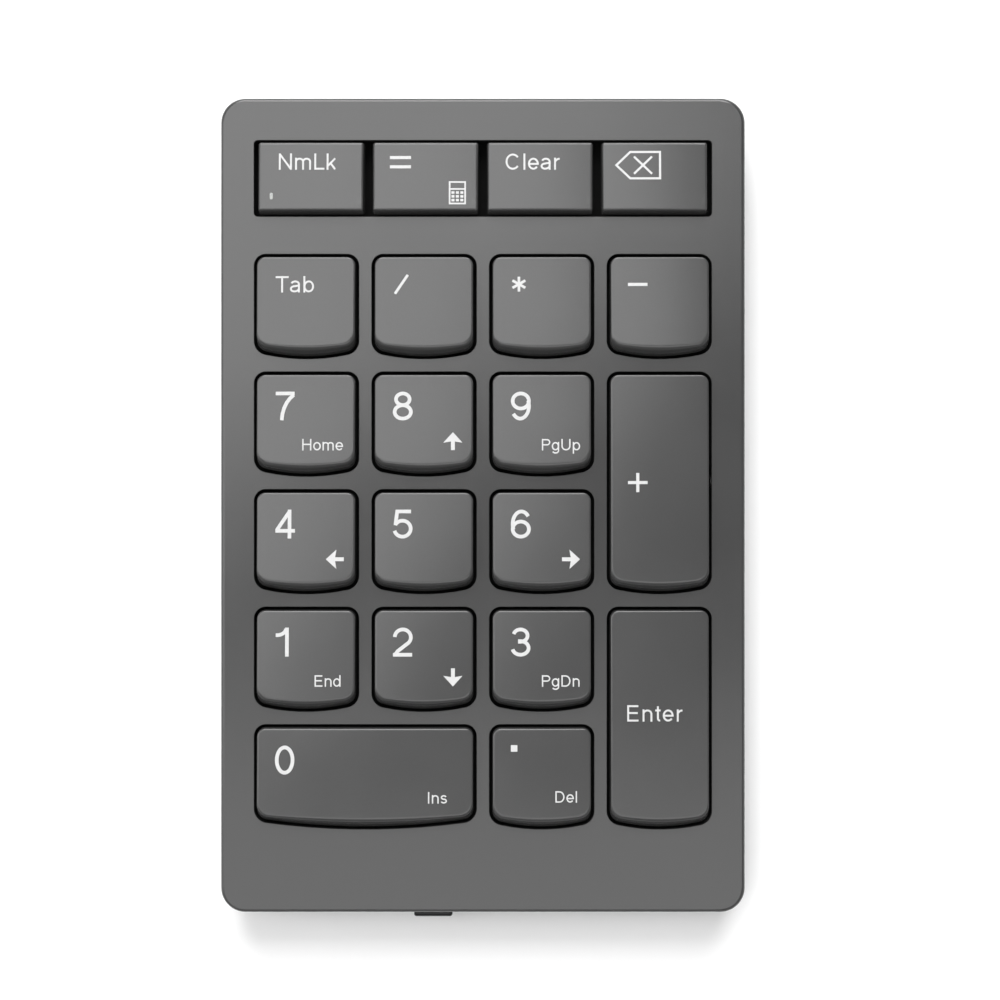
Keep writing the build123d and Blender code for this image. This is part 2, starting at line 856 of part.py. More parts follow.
parts = {
    "top_cover": top_cover(),
    "bottom_cover": bottom_cover(),
    "rating_label": rating_label(),
    "key_guide_frame": key_guide_frame(),
    "rubber_dome_mat": rubber_dome_mat(),
    "membrane_upper": membrane_upper(),
    "membrane_spacer": membrane_spacer(),
    "membrane_lower": membrane_lower(),
    "steel_backplate": steel_backplate(),
    "num_lock_lens": num_lock_lens(),
    "power_switch_knob": switch_knob(),
    "power_switch_slider": switch_slider(),
    "power_switch_body": switch_body(),
    "switch_board": switch_board(),
    "main_board": main_board(),
    "usb_c_socket_shell": usb_socket_shell(),
    "usb_c_socket_tongue": usb_socket_tongue(),
    "controller_chip": chip(-5.0, 52.0, 6.0, 6.0, 0.85, 0.4),
    "charger_chip": chip(-22.0, 52.0, 3.0, 3.0, 0.75, 0.3),
    "crystal": chip(2.0, 51.0, 2.5, 2.0, 0.6),
    "antenna_chip": chip(22.5, 60.0, 5.2, 2.0, 1.1),
    "num_lock_led": chip(light_x, light_y, 1.6, 0.8, 0.7),
    "battery_cell": battery_cell(),
    "battery_tape": battery_tape(),
    "battery_leads": battery_leads(),
    "switch_ribbon": switch_ribbon(),
    "ribbon_connectors": ribbon_connectors(),
    "membrane_connector": membrane_connector(),
    "case_screws": case_screws(),
    "module_screws": module_screws(),
    "board_screws": board_screws(),
}
for name in foot_places:
    parts["foot_" + name] = foot(name)
for key in keys:
    parts["keycap_" + key.name] = keycap(key)
for key in long_keys:
    parts["levelling_bar_" + key.name] = levelling_bar(key)

os.makedirs("parts", exist_ok=True)
for name, shape in parts.items():
    export_step(to_frame * shape, f"parts/{name}.step")

swing = asin(bar_rise / bar_arm) - asin((bar_rise - key_travel) / bar_arm)
print("nodes", len(parts))
print("bar swing, degrees", round(degrees(swing), 3), "rad per metre", swing / key_travel * 1000)
for key in long_keys:
    turn = Rot(0, 0, 90) if key.tall > 1 else Rot(0, 0, 0)
    pivot = to_frame * Pos(key.x, key.y, 0) * turn * Pos(0, bar_pivot(), bar_pivot_z)
    print(key.name, "bar pivot", pivot.position)
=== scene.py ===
"""Looks for the numeric keypad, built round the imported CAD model.

Lengths in the tables and in the outlines are in millimetres, and MM turns them to metres.
"""

import json
import math

import bmesh
import bpy
from mathutils import Matrix, Vector
from mathutils.geometry import delaunay_2d_cdt


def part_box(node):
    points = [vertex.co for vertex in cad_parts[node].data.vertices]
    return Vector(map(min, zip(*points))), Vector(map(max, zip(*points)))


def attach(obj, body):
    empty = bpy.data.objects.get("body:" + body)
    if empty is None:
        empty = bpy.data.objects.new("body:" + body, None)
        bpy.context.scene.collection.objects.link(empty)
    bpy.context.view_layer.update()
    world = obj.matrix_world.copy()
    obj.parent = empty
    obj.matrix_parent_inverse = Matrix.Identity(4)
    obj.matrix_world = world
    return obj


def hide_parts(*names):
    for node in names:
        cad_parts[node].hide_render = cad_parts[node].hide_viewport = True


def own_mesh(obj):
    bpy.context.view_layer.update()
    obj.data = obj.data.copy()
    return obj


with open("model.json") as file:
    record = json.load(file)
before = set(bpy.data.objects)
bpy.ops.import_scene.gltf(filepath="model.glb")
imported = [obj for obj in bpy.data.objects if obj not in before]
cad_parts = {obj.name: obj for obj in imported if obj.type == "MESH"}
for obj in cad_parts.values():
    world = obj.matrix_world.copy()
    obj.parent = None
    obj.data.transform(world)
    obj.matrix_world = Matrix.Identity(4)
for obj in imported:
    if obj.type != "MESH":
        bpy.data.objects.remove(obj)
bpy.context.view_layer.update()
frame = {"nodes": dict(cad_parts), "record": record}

MM = 0.001

# Materials --------------------------------------------------------------------------------


class Look:
    """A material, and short calls that add nodes to it. Its positions are in millimetres."""

    def __init__(self, name, colour, roughness, metallic=0.0):
        self.material = bpy.data.materials.new(name)
        self.material.use_nodes = True
        self.tree = self.material.node_tree
        self.shader = self.tree.nodes["Principled BSDF"]
        self.set("Base Color", (*colour, 1.0))
        self.set("Roughness", roughness)
        self.set("Metallic", metallic)
        self.texture_place = self.add("ShaderNodeTexCoord")
        scale = {"Vector": self.texture_place.outputs["Object"], "Scale": (1 / MM,) * 3}
        self.place = self.add("ShaderNodeMapping", scale).outputs["Vector"]
        self.normal = None

    def add(self, kind, inputs=None, **settings):
        """A new node, with its settings, and its inputs by name or number."""
        node = self.tree.nodes.new(kind)
        for name, value in settings.items():
            setattr(node, name, value)
        for name, value in (inputs or {}).items():
            self.feed(node.inputs[name], value)
        return node

    def feed(self, socket, value):
        if isinstance(value, bpy.types.NodeSocket):
            self.tree.links.new(value, socket)
        else:
            socket.default_value = value

    def set(self, name, value):
        self.feed(self.shader.inputs[name], value)

    def noise(self, size, detail=2.0, stretch=(1, 1, 1)):
        """Cloudy noise from 0 to 1 whose features are about size across."""
        scale = [1 / (size * s) for s in stretch]
        place = self.add("ShaderNodeMapping", {"Vector": self.place, "Scale": scale})
        inputs = {"Vector": place.outputs["Vector"], "Scale": 1.0, "Detail": detail}
        return self.add("ShaderNodeTexNoise", inputs).outputs["Fac"]

    def cells(self, size, feature="F1"):
        inputs = {"Vector": self.place, "Scale": 1 / size}
        node = self.add("ShaderNodeTexVoronoi", inputs, feature=feature)
        return node.outputs["Distance"]

    def span(self, value, low, high, start=0.3, stop=0.7):
        """Turns value from start..stop to low..high, and holds it at the ends."""
        inputs = {"Value": value, "From Min": start, "From Max": stop, "To Min": low, "To Max": high}
        return self.add("ShaderNodeMapRange", inputs).outputs["Result"]

    def maths(self, operation, a, b):
        node = self.add("ShaderNodeMath", {0: a, 1: b}, operation=operation)
        return node.outputs["Value"]

    def blend(self, amount, colour_a, colour_b):
        """colour_a where amount is 0, and colour_b where it is 1."""
        node = self.add("ShaderNodeMix", {0: amount}, data_type="RGBA")
        for socket, colour in ((node.inputs[6], colour_a), (node.inputs[7], colour_b)):
            self.feed(socket, colour if isinstance(colour, bpy.types.NodeSocket) else (*colour, 1.0))
        return node.outputs[2]

    def tracks(self, cell, lanes):
        """1 on printed tracks, 0 between them: lanes that run side by side round square cells."""
        inputs = {"Vector": self.place, "Scale": 1 / cell, "Randomness": 0.6}
        settings = {"feature": "DISTANCE_TO_EDGE", "distance": "CHEBYCHEV"}
        cells = self.add("ShaderNodeTexVoronoi", inputs, **settings)
        across = self.maths("MULTIPLY", cells.outputs["Distance"], lanes)
        return self.span(self.maths("PINGPONG", across, 0.5), 0.0, 1.0, 0.24, 0.28)

    def bump(self, height, depth):
        """Adds relief of that depth, in millimetres, over what is there already."""
        inputs = {"Height": height, "Strength": 1.0, "Distance": depth * MM}
        if self.normal is not None:
            inputs["Normal"] = self.normal
        self.normal = self.add("ShaderNodeBump", inputs).outputs["Normal"]
        self.set("Normal", self.normal)

    def sharp_edges(self):
        """1 on convex edges and corners of a finely divided mesh, 0 elsewhere."""
        pointiness = self.add("ShaderNodeNewGeometry").outputs["Pointiness"]
        return self.span(pointiness, 0.0, 1.0, 0.51, 0.6)

    def rounded_rims(self):
        """1 where a surface turns over between flat and upright, 0 on flats and on walls."""
        normal = self.add("ShaderNodeNewGeometry").outputs["Normal"]
        upward = self.add("ShaderNodeSeparateXYZ", {0: normal}).outputs["Z"]
        square = self.maths("MULTIPLY", upward, upward)
        slope = self.maths("MULTIPLY", square, self.maths("SUBTRACT", 1.0, square))
        return self.span(slope, 0.0, 1.0, 0.05, 0.2)


def shade(colour, factor):
    return tuple(min(c * factor, 1.0) for c in colour)


def moulded(name, colour, roughness, grain=0.14, depth=0.006, worn=None, polish=0.0):
    """Textured moulded plastic: fine grain, cloudy tone, and worn edges and a polished middle."""
    look = Look(name, colour, roughness)
    cloud = look.noise(18.0, 3.0)
    fine = look.noise(grain, 2.0)
    tone = look.blend(look.span(cloud, 0, 1), shade(colour, 0.965), shade(colour, 1.035))
    tone = look.blend(look.span(fine, 0, 0.5), tone, shade(colour, 0.86))
    rough = look.span(cloud, roughness - 0.02, roughness + 0.02)
    rough = look.maths("ADD", rough, look.span(fine, -0.02, 0.02))
    if worn:
        rubbed = look.maths("MULTIPLY", worn(look), look.span(look.noise(1.3), 0.15, 0.6))
        tone = look.blend(rubbed, tone, shade(colour, 1.6))
        rough = look.maths("SUBTRACT", rough, look.maths("MULTIPLY", rubbed, 0.06))
    if polish:
        middle = {0: look.texture_place.outputs["Generated"], 1: (0.5, 0.5, 1.0)}
        away = look.add("ShaderNodeVectorMath", middle, operation="DISTANCE").outputs["Value"]
        touched = look.maths("MULTIPLY", look.span(away, polish, 0.0, 0.12, 0.42), cloud)
        rough = look.maths("SUBTRACT", rough, touched)
    look.set("Base Color", tone)
    look.set("Roughness", rough)
    look.bump(fine, depth)
    return look


def metal(name, colour, roughness, stretch=(1, 1, 1), size=0.25, depth=0.003):
    """Sheet, wire or plating: streaks along the way it was drawn, and dull patches."""
    look = Look(name, colour, roughness, metallic=1.0)
    streaks = look.noise(size, 3.0, stretch)
    patches = look.noise(6.0, 4.0)
    tone = look.blend(look.span(patches, 0, 1), shade(colour, 0.85), shade(colour, 1.05))
    look.set("Base Color", tone)
    rough = look.span(streaks, roughness - 0.06, roughness + 0.08)
    look.set("Roughness", look.maths("ADD", rough, look.span(patches, 0.06, -0.04)))
    look.bump(streaks, depth)
    return look


def silicone():
    look = Look("silicone", (0.55, 0.55, 0.53), 0.5)
    dust = look.noise(0.5, 4.0)
    look.set("Base Color", look.blend(look.span(dust, 0, 1), (0.5, 0.5, 0.48), (0.62, 0.62, 0.6)))
    look.set("Subsurface Weight", 0.25)
    look.set("Subsurface Radius", (0.002, 0.002, 0.002))
    look.bump(dust, 0.01)
    return look


def foot_rubber():
    look = Look("foot_rubber", (0.025, 0.025, 0.026), 0.75)
    grain = look.noise(0.22, 3.0)
    dust = look.noise(2.5, 4.0)
    look.set("Base Color", look.blend(look.span(dust, 0, 0.6), (0.022,) * 3, (0.06, 0.058, 0.055)))
    look.set("Roughness", look.span(dust, 0.65, 0.88))
    look.bump(grain, 0.03)
    return look


def printed_film():
    """Clear polyester film with printed silver tracks."""
    look = Look("printed_film", (0.6, 0.62, 0.61), 0.2)
    track = look.tracks(6.0, 12.0)
    haze = look.noise(8.0, 3.0)
    film = look.blend(look.span(haze, 0, 1), (0.5, 0.53, 0.51), (0.56, 0.58, 0.56))
    look.set("Base Color", look.blend(track, film, (0.72, 0.72, 0.71)))
    look.set("Metallic", look.maths("MULTIPLY", track, 0.8))
    look.set("Roughness", look.span(track, 0.15, 0.4, 0.0, 1.0))
    look.bump(track, 0.01)
    return look


def circuit_board():
    """Green solder mask over copper tracks, with tinned vias."""
    look = Look("circuit_board", (0.01, 0.11, 0.04), 0.3)
    track = look.tracks(1.8, 7.0)
    via = look.span(look.cells(2.6), 1.0, 0.0, 0.1, 0.13)
    mask = look.blend(track, (0.006, 0.075, 0.03), (0.015, 0.15, 0.055))
    look.set("Base Color", look.blend(via, mask, (0.62, 0.6, 0.55)))
    look.set("Metallic", via)
    look.set("Coat Weight", 0.3)
    look.bump(track, 0.02)
    return look


def battery_foil():
    """Laminated pouch foil with a soft crinkle."""
    look = Look("battery_foil", (0.62, 0.63, 0.64), 0.35, metallic=0.9)
    crinkle = look.noise(4.0, 5.0)
    look.set("Roughness", look.span(crinkle, 0.28, 0.46))
    look.bump(crinkle, 0.25)
    look.bump(look.noise(0.4), 0.01)
    return look


def print_ink(name, colour):
    """Screen-printed ink: slightly uneven cover and a dry finish."""
    look = Look(name, colour, 0.5)
    cover = look.noise(0.35, 4.0)
    look.set("Base Color", look.blend(look.span(cover, 0, 1), shade(colour, 0.9), colour))
    look.set("Roughness", look.span(cover, 0.45, 0.6))
    look.bump(look.noise(0.12), 0.003)
    return look


def clear_lens():
    """An unlit light pipe: smoky plastic that is paler than the key round it."""
    look = Look("clear_lens", (0.26, 0.27, 0.26), 0.12)
    haze = look.noise(0.2, 2.0)
    look.set("Base Color", look.blend(look.span(haze, 0, 1), (0.2, 0.21, 0.2), (0.3, 0.31, 0.3)))
    look.set("Roughness", look.span(haze, 0.08, 0.2))
    look.set("Coat Weight", 0.5)
    return look


def black_plastic():
    """Smooth black plastic for the switch and the socket's tongue, rubbed grey on its edges."""
    look = moulded("black_plastic", (0.006,) * 3, 0.25, 0.3, 0.002, worn=Look.rounded_rims)
    look.set("Specular IOR Level", 0.2)
    return look


def guide_plastic():
    """The frame under the keys: matt black plastic, darkened further as painted shade so that nothing
    shows between the keys.
    """
    # Near-black colour, darker than black plastic: painted shade in the gaps between the keys.
    look = moulded("guide_plastic", (0.003,) * 3, 0.7, 0.2, 0.01)
    look.set("Specular IOR Level", 0.12)
    return look


CASE_GREY = (0.044, 0.044, 0.044)
KEY_GREY = (0.048, 0.048, 0.048)
ALONG_Y = (1, 30, 1)
ALONG_X = (30, 1, 1)

looks = {
    "case_plastic": moulded("case_plastic", CASE_GREY, 0.18, worn=Look.rounded_rims),
    "keycap_plastic": moulded("keycap_plastic", KEY_GREY, 0.2, worn=Look.sharp_edges, polish=0.025),
    "legend_white": print_ink("legend_white", (0.56, 0.56, 0.56)),
    "black_plastic": black_plastic(),
    "guide_plastic": guide_plastic(),
    "silicone": silicone(),
    "foot_rubber": foot_rubber(),
    "film": printed_film(),
    "sheet_steel": metal("sheet_steel", (0.55, 0.55, 0.56), 0.38, ALONG_Y),
    "steel_wire": metal("steel_wire", (0.6, 0.6, 0.6), 0.25, ALONG_X, 0.15),
    "socket_steel": metal("socket_steel", (0.62, 0.61, 0.59), 0.28, ALONG_X),
    "screw_steel": metal("screw_steel", (0.09, 0.09, 0.095), 0.35, size=0.2),
    "board": circuit_board(),
    "chip_black": moulded("chip_black", (0.02,) * 3, 0.55, 0.1, 0.01),
    "metal_can": metal("metal_can", (0.65, 0.64, 0.6), 0.3, ALONG_X, 0.2),
    "ceramic_white": moulded("ceramic_white", (0.7, 0.68, 0.6), 0.35, 0.3, 0.004),
    "connector_white": moulded("connector_white", (0.68, 0.66, 0.6), 0.45, 0.25, 0.006),
    "battery_foil": battery_foil(),
    "tape": print_ink("tape", (0.6, 0.58, 0.5)),
    "lead_red": moulded("lead_red", (0.45, 0.02, 0.02), 0.4, 0.4, 0.01),
    "flat_cable": moulded("flat_cable", (0.7, 0.7, 0.68), 0.35, 0.4, 0.004),
    "label": print_ink("label", (0.2, 0.2, 0.2)),
    "lens": clear_lens(),
}


def paint(piece, slot):
    piece.data.materials.clear()
    piece.data.materials.append(looks[slot].material)


for part in frame["record"]["subparts"]:
    paint(frame["nodes"][part["node"]], part["material_slot"])


# Mesh making ------------------------------------------------------------------------------


def new_object(name, bm, slot, sharp=35):
    """Turns bm, in metres, into a piece with soft shading that breaks at sharp edges."""
    bmesh.ops.recalc_face_normals(bm, faces=bm.faces)
    mesh = bpy.data.meshes.new(name)
    bm.to_mesh(mesh)
    bm.free()
    mesh.shade_smooth()
    mesh.set_sharp_from_angle(angle=math.radians(sharp))
    piece = bpy.data.objects.new(name, mesh)
    bpy.context.scene.collection.objects.link(piece)
    paint(piece, slot)
    return piece


def sweep_angles(start, stop, count):
    return [math.radians(start + (stop - start) * i / count) for i in range(count + 1)]


def bridge(bm, lower, upper):
    """Quads between two rings of the same number of vertices."""
    count = len(lower)
    for i in range(count):
        j = (i + 1) % count
        bm.faces.new((lower[i], lower[j], upper[j], upper[i]))


def closed_shell(bm, rings):
    """A shell through rings of places, with the last joined to the first."""
    made = [[bm.verts.new(place) for place in ring] for ring in rings]
    for near, far in zip(made, made[1:] + made[:1]):
        bridge(bm, near, far)


# Keycaps ----------------------------------------------------------------------------------

SKIRT_BOTTOM = 11.0
DECK_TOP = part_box("top_cover")[1].z / MM
KEY_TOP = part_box("keycap_5")[1].z / MM
PITCH = 19.05
SMALL_DEPTH = 13.0  # a cap that is less deep than this is one of the small keys
ROOF_UNDER = 12.9
KEY_WALL = 0.9
KEY_DROP = 0.8  # how much lower a key's top is at the rear than at the front
CROWN = 0.12
OVERLAP = 0.1  # how far pieces that are joined run into each other

# The outline, and how finely it and the top are divided.
BOW_LOSS = 0.5  # the share of the bow that is gone at the top of the front slope
CORNER_GAIN = 0.8  # how much rounder the front corners are there
SMALLEST_CORNER = 0.12
RIM_INSET = 0.12  # of the highest ring, in from the edge's rounding
CORNER_STEPS = 8
SIDE_STEPS = 8
FRONT_STEPS = 10
EDGE_STEPS = 6
TOP_CELL = 1.2

# The plunger: a tube with a cross in it, and two hooks.
PLUNGER_RADIUS = 3.35
PLUNGER_BORE = 2.6
PLUNGER_BOTTOM = 9.3
PLUNGER_TOP = ROOF_UNDER + OVERLAP
PLUNGER_STEPS = 32
RIB_HALF = 0.4
RIB_BOTTOM = PLUNGER_BOTTOM + 0.02
HOOK_ROOT = PLUNGER_RADIUS - 0.3
HOOK_TIP = PLUNGER_RADIUS + 0.6
HOOK_HALF = 0.6
HOOK_TOP = PLUNGER_BOTTOM + 0.55

# The clips for a levelling bar, whose leg slides from LEG_NEAR to LEG_FAR as the key goes down.
CLIP_X = 7.5
CLIP_HALF = 0.8
CLIP_MIDDLE = 6.05
CLIP_HALF_DEPTH = 1.25
CLIP_BOTTOM = 10.35
LEG_Z = 11.2
LEG_BORE = 0.58
LEG_NEAR = 5.85
LEG_FAR = 6.29
CLIP_STEPS = 24


class KeyForm:
    """The outline and edge shape that keycaps of one kind share."""

    def __init__(self, bow, rear_corner, front_corner, draft, slope, edge, front_edge):
        self.bow = bow
        self.rear_corner = rear_corner
        self.front_corner = front_corner
        self.draft = draft
        self.slope = slope
        self.edge = edge
        self.front_edge = front_edge

    def blended(self, share):
        """The bow and front corner of the outline at that share of the front slope."""
        bow = self.bow * (1 - BOW_LOSS * share)
        corner = self.front_corner + (CORNER_GAIN * share if self.bow else 0.0)
        return bow, corner


square_form = KeyForm(1.15, 1.4, 1.8, 0.1, 1.1, 0.25, 0.9)
wide_form = KeyForm(1.35, 1.4, 1.8, 0.1, 1.1, 0.25, 0.9)
small_form = KeyForm(0.0, 0.5, 0.5, 0.2, 0.45, 0.3, 0.4)


class Cap:
    """Where one keycap is, how large it is, and the surface of its top."""

    def __init__(self, name):
        low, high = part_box("keycap_" + name)
        self.name = name
        self.x = (low.x + high.x) / 2 / MM
        self.y = (low.y + high.y) / 2 / MM
        self.width = (high.x - low.x) / MM
        self.depth = (high.y - low.y) / MM
        self.wide = self.width > PITCH
        self.tall = self.depth > PITCH
        if self.depth < SMALL_DEPTH:
            self.form = small_form
        else:
            self.form = wide_form if self.wide else square_form

    def top(self, x, y):
        """The height of the top: it falls towards the rear, and is crowned from side to side."""
        back = (y + self.depth / 2 - self.form.slope) / self.depth
        return KEY_TOP - KEY_DROP * back - CROWN * (2 * x / self.width) ** 2

    def point(self, x, y, z):
        return Vector((self.x + x, self.y + y, z)) * MM

    def along(self, x, y):
        """Turns a place that is drawn for a wide key so that it lies along a tall one."""
        return (-y, x) if self.tall else (x, y)

    def on_wall(self, x, y, z):
        """A point of the outside whose height z is the one it has at the front of the key."""
        if z > DECK_TOP:
            z = DECK_TOP + (z - DECK_TOP) * (self.top(x, y) - DECK_TOP) / (KEY_TOP - DECK_TOP)
        return self.point(x, y, z)


def rear_half(half, rear, radius):
    """From the middle of the rear edge to the lower end of its right corner."""
    corner_x, corner_y = half - radius, rear - radius
    points = [(corner_x * i / SIDE_STEPS, rear, 0.0) for i in range(SIDE_STEPS)]
    for a in sweep_angles(90, 0, CORNER_STEPS):
        points.append((corner_x + radius * math.cos(a), corner_y + radius * math.sin(a), 0.0))
    return points


def front_half(half, front, radius, bow):
    """From the upper end of the right front corner to the middle of the front edge."""
    arc = (half**2 + bow**2) / (2 * bow) if bow else 0.0
    corner_x, corner_y, turn = half - radius, front + radius, -90.0
    if bow:
        drop = math.sqrt((arc - radius) ** 2 - corner_x**2)
        corner_y = front + arc - drop
        turn = math.degrees(math.atan2(-drop, corner_x))
    points = []
    for i, a in enumerate(sweep_angles(0, turn, CORNER_STEPS)):
        share = i / CORNER_STEPS
        weight = share * share * (3 - 2 * share)
        points.append((corner_x + radius * math.cos(a), corner_y + radius * math.sin(a), weight))
    end_x = points[-1][0]
    for i in range(1, FRONT_STEPS + 1):
        x = end_x * (1 - i / FRONT_STEPS)
        sag = arc - math.sqrt(arc**2 - x**2) if bow else 0.0
        points.append((x, front + sag, 1.0))
    return points


def half_outline(width, depth, rear_r, front_r, bow):
    """The right half of a key's outline from rear to front: (x, y, how much it is front)."""
    half = width / 2
    rear_points = rear_half(half, depth / 2, rear_r)
    front_points = front_half(half, -depth / 2, front_r, bow)
    high, low = rear_points[-1][1], front_points[0][1]
    side = [(half, high + (low - high) * i / SIDE_STEPS, 0.0) for i in range(1, SIDE_STEPS)]
    return rear_points + side + front_points


def full_outline(cap, side_in, front_in, share):
    """A closed outline, anticlockwise, drawn in from the key's base by side_in and front_in."""
    form = cap.form
    bow, front_r = form.blended(share)
    rear_r = max(form.rear_corner - side_in, SMALLEST_CORNER)
    front_r = max(front_r - side_in, SMALLEST_CORNER)
    width, depth = cap.width - 2 * side_in, cap.depth - side_in - front_in
    right = half_outline(width, depth, rear_r, front_r, bow)
    left = [(-x, y, weight) for x, y, weight in right[1:-1]]
    shift = (front_in - side_in) / 2
    return [(x, y + shift, weight) for x, y, weight in (right + left[::-1])[::-1]]


def edge_profile(lean, radius, top):
    """(inset, height) up one wall of a key and round its top edge. lean is the wall's inset."""
    rise = top - DECK_TOP
    length = math.hypot(lean, rise)
    along = (lean / length, rise / length)
    turn = math.acos(along[0])
    tangent = radius * math.tan(turn / 2)
    start = (lean - along[0] * tangent, top - along[1] * tangent)
    middle = (start[0] + along[1] * radius, start[1] - along[0] * radius)
    first = math.degrees(math.atan2(start[1] - middle[1], start[0] - middle[0]))
    profile = [(0.0, SKIRT_BOTTOM), (0.0, DECK_TOP)]
    for a in sweep_angles(first, 90, EDGE_STEPS):
        profile.append((middle[0] + radius * math.cos(a), middle[1] + radius * math.sin(a)))
    profile.append((profile[-1][0] + RIM_INSET, top))
    return profile


def keycap_walls(bm, cap):
    """The outside of a keycap. Returns its lowest ring, its highest ring and the latter's outline."""
    sides = edge_profile(cap.form.draft, cap.form.edge, KEY_TOP)
    fronts = edge_profile(cap.form.slope, cap.form.front_edge, KEY_TOP)
    reach = fronts[-1][0]
    rings = []
    for (side_in, side_z), (front_in, front_z) in zip(sides, fronts):
        outline = full_outline(cap, side_in, front_in, front_in / reach)
        places = [cap.on_wall(x, y, side_z + (front_z - side_z) * w) for x, y, w in outline]
        rings.append([bm.verts.new(place) for place in places])
    for lower, upper in zip(rings, rings[1:]):
        bridge(bm, lower, upper)
    return rings[0], rings[-1], [(x, y) for x, y, w in outline]


def keycap_top(bm, cap, rim, outline):
    """Fills the top with a grid whose points lie on the crown, joined to the rim all round."""
    points = [Vector(p) for p in outline]
    across = int(cap.width / TOP_CELL)
    along = int(cap.depth / TOP_CELL)
    for i in range(1, across):
        for j in range(1, along):
            p = Vector(((i / across - 0.5) * cap.width, (j / along - 0.5) * cap.depth))
            if inside(p, outline, TOP_CELL / 2):
                points.append(p)
    count = len(outline)
    result = delaunay_2d_cdt(points, [], [list(range(count))], 1, 1e-6)
    corners = []
    for place, sources in zip(result[0], result[3]):
        known = [i for i in sources if i < count]
        if known:
            corners.append(rim[known[0]])
        else:
            corners.append(bm.verts.new(cap.point(place.x, place.y, cap.top(place.x, place.y))))
    faces = [bm.faces.new([corners[i] for i in face]) for face in result[2]]
    bmesh.ops.join_triangles(bm, faces=faces, angle_face_threshold=0.2, angle_shape_threshold=0.2)


def inside(point, outline, margin):
    """Whether a point is within a closed outline and at least margin away from it."""
    crossings = 0
    for a, b in zip(outline, outline[1:] + outline[:1]):
        a, b = Vector(a), Vector(b)
        nearest = a + (b - a) * min(max((point - a).dot(b - a) / (b - a).length_squared, 0.0), 1.0)
        if (nearest - point).length < margin:
            return False
        if (a.y > point.y) != (b.y > point.y):
            if point.x < a.x + (point.y - a.y) * (b.x - a.x) / (b.y - a.y):
                crossings += 1
    return crossings % 2 == 1


def keycap_hollow(bm, cap, skirt):
    """The inside of a keycap, joined to the outside at the bottom of the skirt."""
    outline = full_outline(cap, KEY_WALL, KEY_WALL + cap.form.slope / 2, 0.0)
    low = [bm.verts.new(cap.point(x, y, SKIRT_BOTTOM)) for x, y, w in outline]
    high = [bm.verts.new(cap.point(x, y, ROOF_UNDER)) for x, y, w in outline]
    bridge(bm, skirt, low)
    bridge(bm, low, high)
    bm.faces.new(high)


def circle(cap, radius, z):
    """Points round the middle of a key, anticlockwise."""
    angles = sweep_angles(0, 360, PLUNGER_STEPS)[:-1]
    return [cap.point(radius * math.cos(a), radius * math.sin(a), z) for a in angles]


def keycap_plunger(bm, cap):
    """The stem under a keycap: a tube with a cross in it, and two snap hooks."""
    outside = [circle(cap, PLUNGER_RADIUS, z) for z in (PLUNGER_TOP, PLUNGER_BOTTOM)]
    bore = [circle(cap, PLUNGER_BORE, z) for z in (PLUNGER_BOTTOM, PLUNGER_TOP)]
    closed_shell(bm, outside + bore)
    reach = PLUNGER_BORE + OVERLAP
    for x, y in ((reach, RIB_HALF), (RIB_HALF, reach)):
        add_block(bm, cap, (-x, -y, RIB_BOTTOM), (x, y, PLUNGER_TOP))
    for left, right in ((-HOOK_TIP, -HOOK_ROOT), (HOOK_ROOT, HOOK_TIP)):
        add_block(bm, cap, (left, -HOOK_HALF, PLUNGER_BOTTOM), (right, HOOK_HALF, HOOK_TOP))


def squared(angle):
    """Where a circle's point at that angle comes to when the circle is pushed out to a square."""
    return [max(-1.0, min(1.0, w * math.sqrt(2))) for w in (math.cos(angle), math.sin(angle))]


def bar_clip(bm, cap, middle):
    """A lug under a long keycap, with the oblong slot that its levelling bar's leg slides in."""
    slot, rim = [], []
    for a in sweep_angles(0, 360, CLIP_STEPS)[:-1]:
        leg_y = LEG_FAR if math.cos(a) > 0 else LEG_NEAR
        slot.append((leg_y + LEG_BORE * math.cos(a), LEG_Z + LEG_BORE * math.sin(a)))
        across, up = squared(a)
        reach = PLUNGER_TOP - LEG_Z if up > 0 else LEG_Z - CLIP_BOTTOM
        rim.append((CLIP_MIDDLE + CLIP_HALF_DEPTH * across, LEG_Z + reach * up))
    left, right = middle - CLIP_HALF, middle + CLIP_HALF
    rings = []
    for x, outline in ((left, slot), (left, rim), (right, rim), (right, slot)):
        rings.append([cap.point(*cap.along(x, y), z) for y, z in outline])
    closed_shell(bm, rings)


def add_block(bm, cap, low, high):
    """A box between two corners that are measured from the key's middle."""
    size = Vector(high) - Vector(low)
    middle = (Vector(high) + Vector(low)) / 2
    place = Matrix.Translation(cap.point(*middle)) @ Matrix.Diagonal((*(size * MM), 1.0))
    bmesh.ops.create_cube(bm, size=1.0, matrix=place)


def make_keycap(cap):
    bm = bmesh.new()
    skirt, rim, outline = keycap_walls(bm, cap)
    keycap_top(bm, cap, rim, outline)
    keycap_hollow(bm, cap, skirt)
    keycap_plunger(bm, cap)
    if cap.wide or cap.tall:
        bar_clip(bm, cap, -CLIP_X)
        bar_clip(bm, cap, CLIP_X)
    piece = new_object("cap_" + cap.name, bm, "keycap_plastic")
    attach(piece, "key_" + cap.name)
    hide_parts("keycap_" + cap.name)
